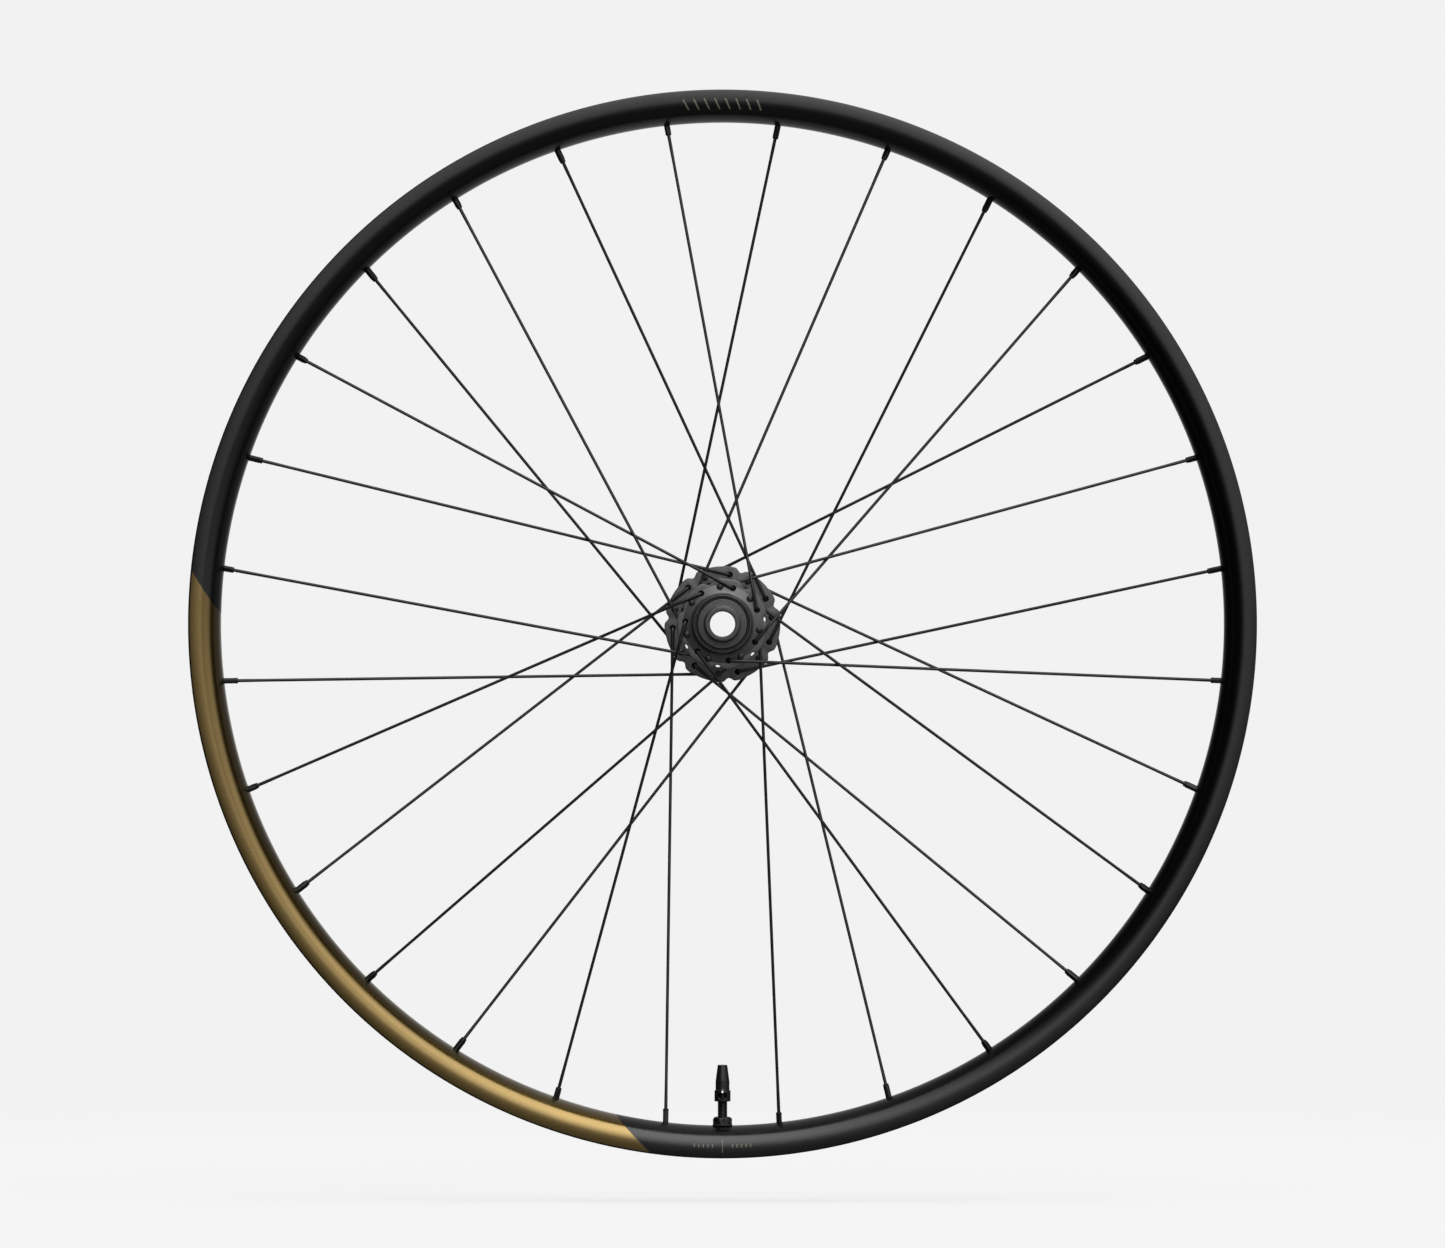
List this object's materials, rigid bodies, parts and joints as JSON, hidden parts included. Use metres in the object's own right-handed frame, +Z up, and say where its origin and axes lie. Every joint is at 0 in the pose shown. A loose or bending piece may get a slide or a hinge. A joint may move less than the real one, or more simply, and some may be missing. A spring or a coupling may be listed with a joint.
{
  "type": "spoked bicycle wheel",
  "caption": "Spoked front bicycle wheel: hollow black and bronze rim laced three-cross to a disc hub with a through-axle bore, with a tubeless valve.",
  "frame": {"origin": "centre of the wheel, on the spin axis and midway between the two end faces", "axes": "+Y along the axle towards the disc brake side; +Z up, away from the valve, which is at the bottom; +X across the wheel"},
  "size_m": [0.635, 0.11, 0.635],
  "materials": {
    "carbon": "satin black lacquer over carbon, with one painted bronze section",
    "tape": "smooth adhesive tape",
    "anodised_hub": "satin black anodised",
    "anodised_cap": "satin black anodised, turned",
    "spoke_steel": "black coated, drawn",
    "bearing_steel": "ground",
    "rubber": "moulded",
    "valve_alloy": "black anodised, turned",
    "brass": "turned"
  },
  "bodies": {
    "axle": {"axle_sleeve": "anodised_hub", "end_cap_right": "anodised_cap", "end_cap_left": "anodised_cap", "axle_oring_right": "rubber", "axle_oring_left": "rubber", "bearing_inner_ring_right": "bearing_steel", "bearing_inner_ring_left": "bearing_steel"},
    "wheel": {"rim": "carbon", "rim_tape": "tape", "hub_shell": "anodised_hub", "bearing_outer_ring_right": "bearing_steel", "bearing_outer_ring_left": "bearing_steel", "bearing_outer_seal_right": "rubber", "bearing_outer_seal_left": "rubber", "bearing_inner_seal_right": "rubber", "bearing_inner_seal_left": "rubber", "valve_stem": "valve_alloy", "valve_core": "brass", "valve_grommet": "rubber", "valve_nut": "valve_alloy", "valve_nut_washer": "rubber", "spoke_01": "spoke_steel", "spoke_02": "spoke_steel", "spoke_03": "spoke_steel", "spoke_04": "spoke_steel", "spoke_05": "spoke_steel", "spoke_06": "spoke_steel", "spoke_07": "spoke_steel", "spoke_08": "spoke_steel", "spoke_09": "spoke_steel", "spoke_10": "spoke_steel", "spoke_11": "spoke_steel", "spoke_12": "spoke_steel", "spoke_13": "spoke_steel", "spoke_14": "spoke_steel", "spoke_15": "spoke_steel", "spoke_16": "spoke_steel", "spoke_17": "spoke_steel", "spoke_18": "spoke_steel", "spoke_19": "spoke_steel", "spoke_20": "spoke_steel", "spoke_21": "spoke_steel", "spoke_22": "spoke_steel", "spoke_23": "spoke_steel", "spoke_24": "spoke_steel", "spoke_25": "spoke_steel", "spoke_26": "spoke_steel", "spoke_27": "spoke_steel", "spoke_28": "spoke_steel"},
    "right_ball_set": {"bearing_balls_right": "bearing_steel"},
    "left_ball_set": {"bearing_balls_left": "bearing_steel"},
    "cap": {"valve_cap": "valve_alloy"},
    "core_pin": {"valve_core_pin": "brass"},
    "core_nut": {"valve_core_nut": "brass"}
  },
  "joints": [
    {"name": "wheel_spin", "type": "hinge", "parent": "axle", "child": "wheel", "pos_m": [0, 0, 0], "axis": [0, 1, 0], "continuous": true},
    {"name": "right_balls_roll", "type": "hinge", "parent": "axle", "child": "right_ball_set", "pos_m": [0, -0.0378, 0], "axis": [0, 1, 0], "continuous": true},
    {"name": "left_balls_roll", "type": "hinge", "parent": "axle", "child": "left_ball_set", "pos_m": [0, 0.0401, 0], "axis": [0, 1, 0], "continuous": true},
    {"name": "valve_cap_unscrew", "type": "slide", "parent": "wheel", "child": "cap", "axis": [0, 0, 1], "range_m": [0, 0.026]},
    {"name": "core_nut_unscrew", "type": "slide", "parent": "core_pin", "child": "core_nut", "axis": [0, 0, 1], "range_m": [0, 0.003]},
    {"name": "core_pin_open", "type": "slide", "parent": "wheel", "child": "core_pin", "axis": [0, 0, -1], "range_m": [0, 0.003]}
  ],
  "couplings": [
    {"joint": "right_balls_roll", "follows": "wheel_spin", "ratio": 0.5843},
    {"joint": "left_balls_roll", "follows": "wheel_spin", "ratio": 0.5843},
    {"joint": "core_pin_open", "follows": "core_nut_unscrew", "ratio": 0.9}
  ]
}
